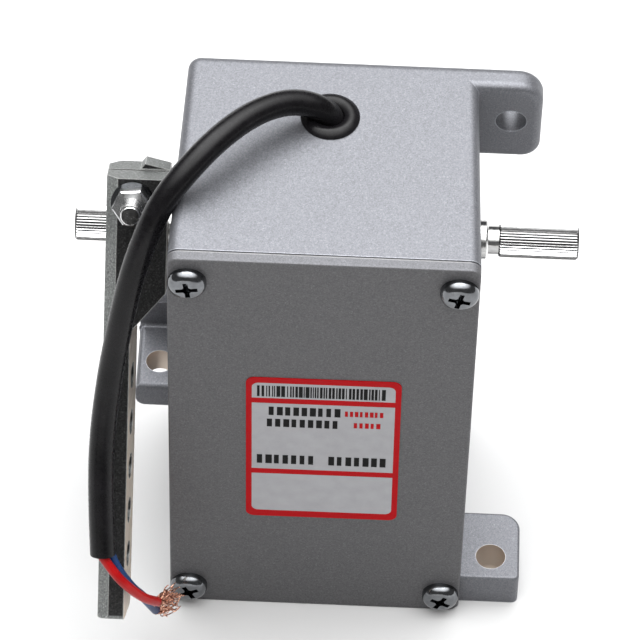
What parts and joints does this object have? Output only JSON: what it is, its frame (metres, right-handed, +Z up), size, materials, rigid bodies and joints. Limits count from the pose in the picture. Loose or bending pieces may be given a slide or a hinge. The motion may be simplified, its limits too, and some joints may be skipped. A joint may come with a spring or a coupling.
{
  "type": "spring-return rotary actuator",
  "caption": "Spring-return electric rotary actuator: cast case with screwed cover, splined cross shaft with a split-clamp lever, mounting lugs and a two-core cable.",
  "frame": {"origin": "centre of the case's base face", "axes": "+Z up to the cable side, -Y out of the screwed cover, output shaft along X with the lever at -X"},
  "size_m": [0.1156, 0.0879, 0.1438],
  "materials": {
    "cast_silver": "metallic silver paint, satin",
    "cover_paint": "metallic silver paint, satin",
    "gasket_paper": "matte",
    "zinc_hardware": "zinc plated",
    "printed_film": "satin print",
    "shaft_steel": "ground",
    "bearing_steel": "polished",
    "cage_brass": "stamped",
    "seal_rubber": "matte",
    "core_iron": "laminated",
    "bobbin_plastic": "moulded",
    "winding_tape": "taped winding",
    "spring_steel": "drawn wire",
    "cast_zinc": "sintered faces, machined inner side",
    "black_rubber": "matte",
    "red_insulation": "satin",
    "blue_insulation": "satin",
    "bare_copper": "stranded"
  },
  "bodies": {
    "actuator_body": {"housing": "cast_silver", "cover_plate": "cover_paint", "cover_gasket": "gasket_paper", "cover_screws": "zinc_hardware", "rating_label": "printed_film", "stator_core": "core_iron", "coil_bobbin": "bobbin_plastic", "coil_winding": "winding_tape", "stator_strap": "zinc_hardware", "strap_screws": "zinc_hardware", "left_bearing_outer_race": "bearing_steel", "right_bearing_outer_race": "bearing_steel", "left_shaft_seal": "seal_rubber", "right_shaft_seal": "seal_rubber", "stop_pin": "shaft_steel", "spring_post": "shaft_steel", "return_spring": "spring_steel", "cable_grommet": "black_rubber", "cable": "black_rubber", "inner_red_lead": "red_insulation", "inner_blue_lead": "blue_insulation", "red_wire": "red_insulation", "blue_wire": "blue_insulation", "red_strands": "bare_copper", "blue_strands": "bare_copper"},
    "rotor": {"output_shaft": "shaft_steel", "armature": "core_iron", "armature_pin": "shaft_steel", "stop_sector": "shaft_steel", "left_bearing_inner_race": "bearing_steel", "right_bearing_inner_race": "bearing_steel", "clamp_lever": "cast_zinc", "pinch_bolt": "zinc_hardware", "pinch_nut": "zinc_hardware", "pinch_washer": "zinc_hardware"},
    "left_ball_set": {"left_bearing_balls": "bearing_steel", "left_bearing_cage": "cage_brass"},
    "right_ball_set": {"right_bearing_balls": "bearing_steel", "right_bearing_cage": "cage_brass"}
  },
  "joints": [
    {"name": "output_shaft_turn", "type": "hinge", "parent": "actuator_body", "child": "rotor", "pos_m": [0, 0, 0.1055], "axis": [1, 0, 0], "range_deg": [0, 25], "stiffness_Nm_per_rad": 0.34, "springref_deg": -57.3, "deforming": ["return_spring"]},
    {"name": "left_ball_set_turn", "type": "hinge", "parent": "actuator_body", "child": "left_ball_set", "pos_m": [-0.0274, 0, 0.1055], "axis": [1, 0, 0], "range_deg": [-1, 12]},
    {"name": "right_ball_set_turn", "type": "hinge", "parent": "actuator_body", "child": "right_ball_set", "pos_m": [0.0274, 0, 0.1055], "axis": [1, 0, 0], "range_deg": [-1, 12]}
  ],
  "couplings": [
    {"joint": "left_ball_set_turn", "follows": "output_shaft_turn", "ratio": 0.40313},
    {"joint": "right_ball_set_turn", "follows": "output_shaft_turn", "ratio": 0.40313}
  ]
}
